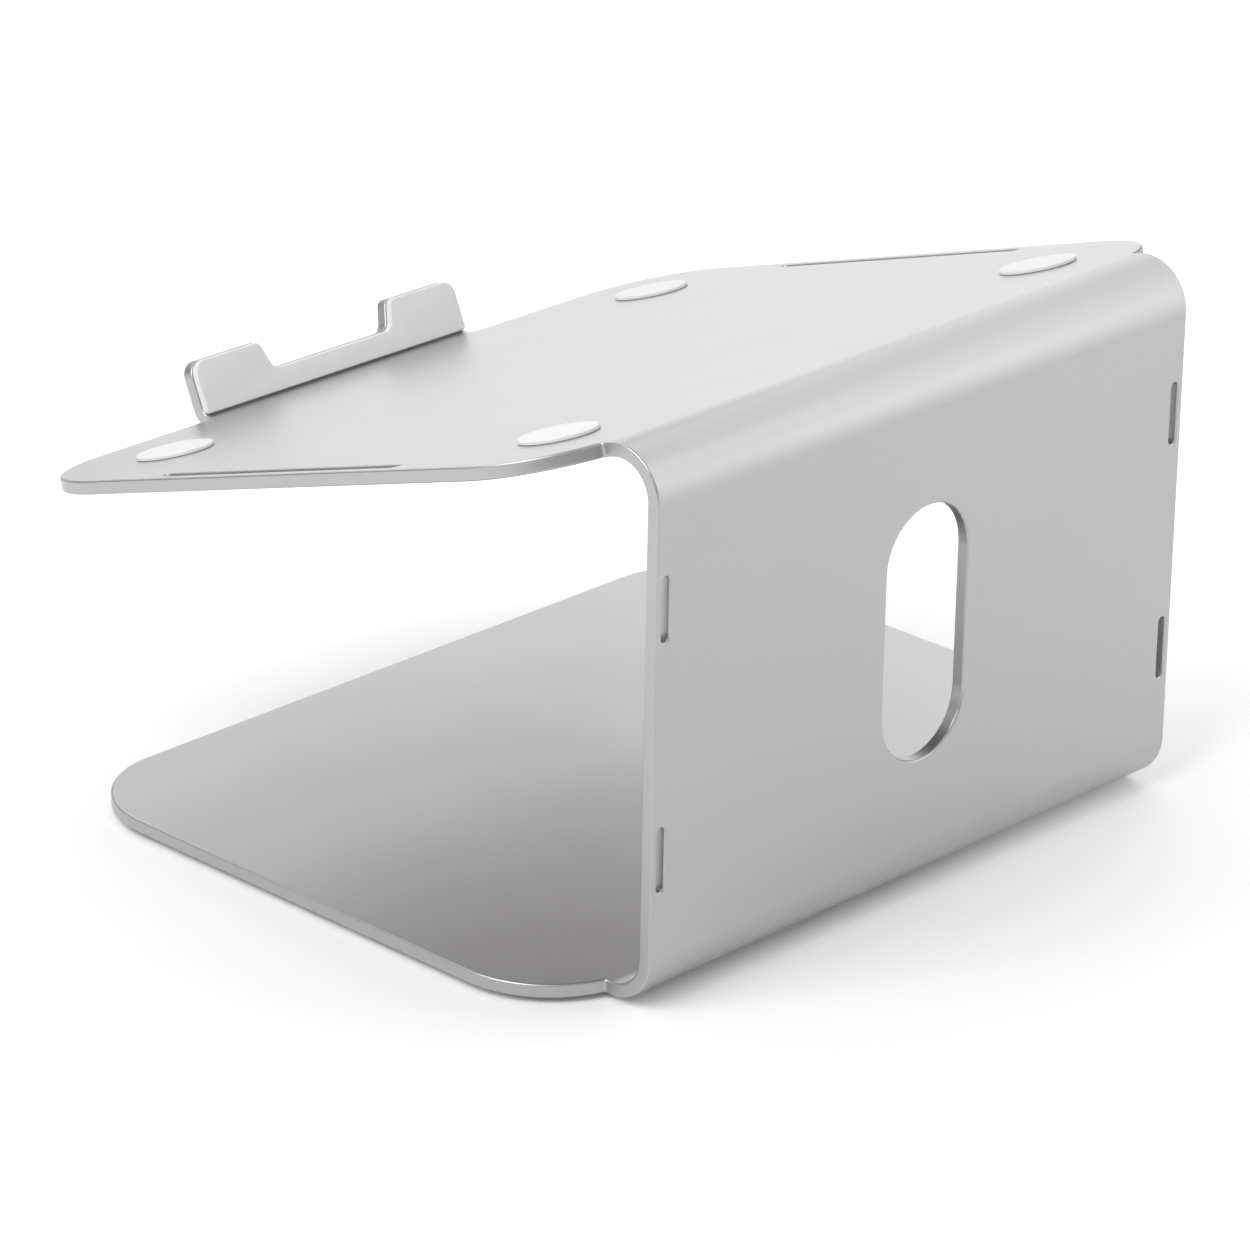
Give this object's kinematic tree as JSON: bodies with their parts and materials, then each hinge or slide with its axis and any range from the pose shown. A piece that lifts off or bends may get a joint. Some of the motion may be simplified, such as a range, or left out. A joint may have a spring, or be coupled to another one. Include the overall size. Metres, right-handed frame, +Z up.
{
  "type": "laptop stand",
  "caption": "Sloped laptop stand bent from thick aluminium sheet, with a padded two-tab front lip, round tray pads, a tall round-ended cable hole and rubber feet.",
  "frame": {"origin": "on the desk, under the middle of the whole stand's outline seen from above", "axes": "+X across the stand to the user's right, +Y from the front lip to the back panel, +Z up"},
  "size_m": [0.26, 0.245, 0.1604],
  "materials": {
    "sheet": "fine bead-blasted, silver anodised",
    "lip_pad": "matt light grey silicone",
    "tray_pad": "matt white silicone",
    "foot": "matt grey rubber",
    "adhesive": "double-sided film"
  },
  "bodies": {
    "root": {"stand_body": "sheet", "lip_pad": "lip_pad", "tray_pad_front_left": "tray_pad", "tray_pad_front_right": "tray_pad", "tray_pad_rear_left": "tray_pad", "tray_pad_rear_right": "tray_pad", "foot_front_left": "foot", "foot_front_right": "foot", "foot_rear_left": "foot", "foot_rear_right": "foot", "lip_pad_adhesive": "adhesive", "tray_pad_adhesive_front_left": "adhesive", "tray_pad_adhesive_front_right": "adhesive", "tray_pad_adhesive_rear_left": "adhesive", "tray_pad_adhesive_rear_right": "adhesive", "foot_adhesive_front_left": "adhesive", "foot_adhesive_front_right": "adhesive", "foot_adhesive_rear_left": "adhesive", "foot_adhesive_rear_right": "adhesive"}
  },
  "joints": []
}
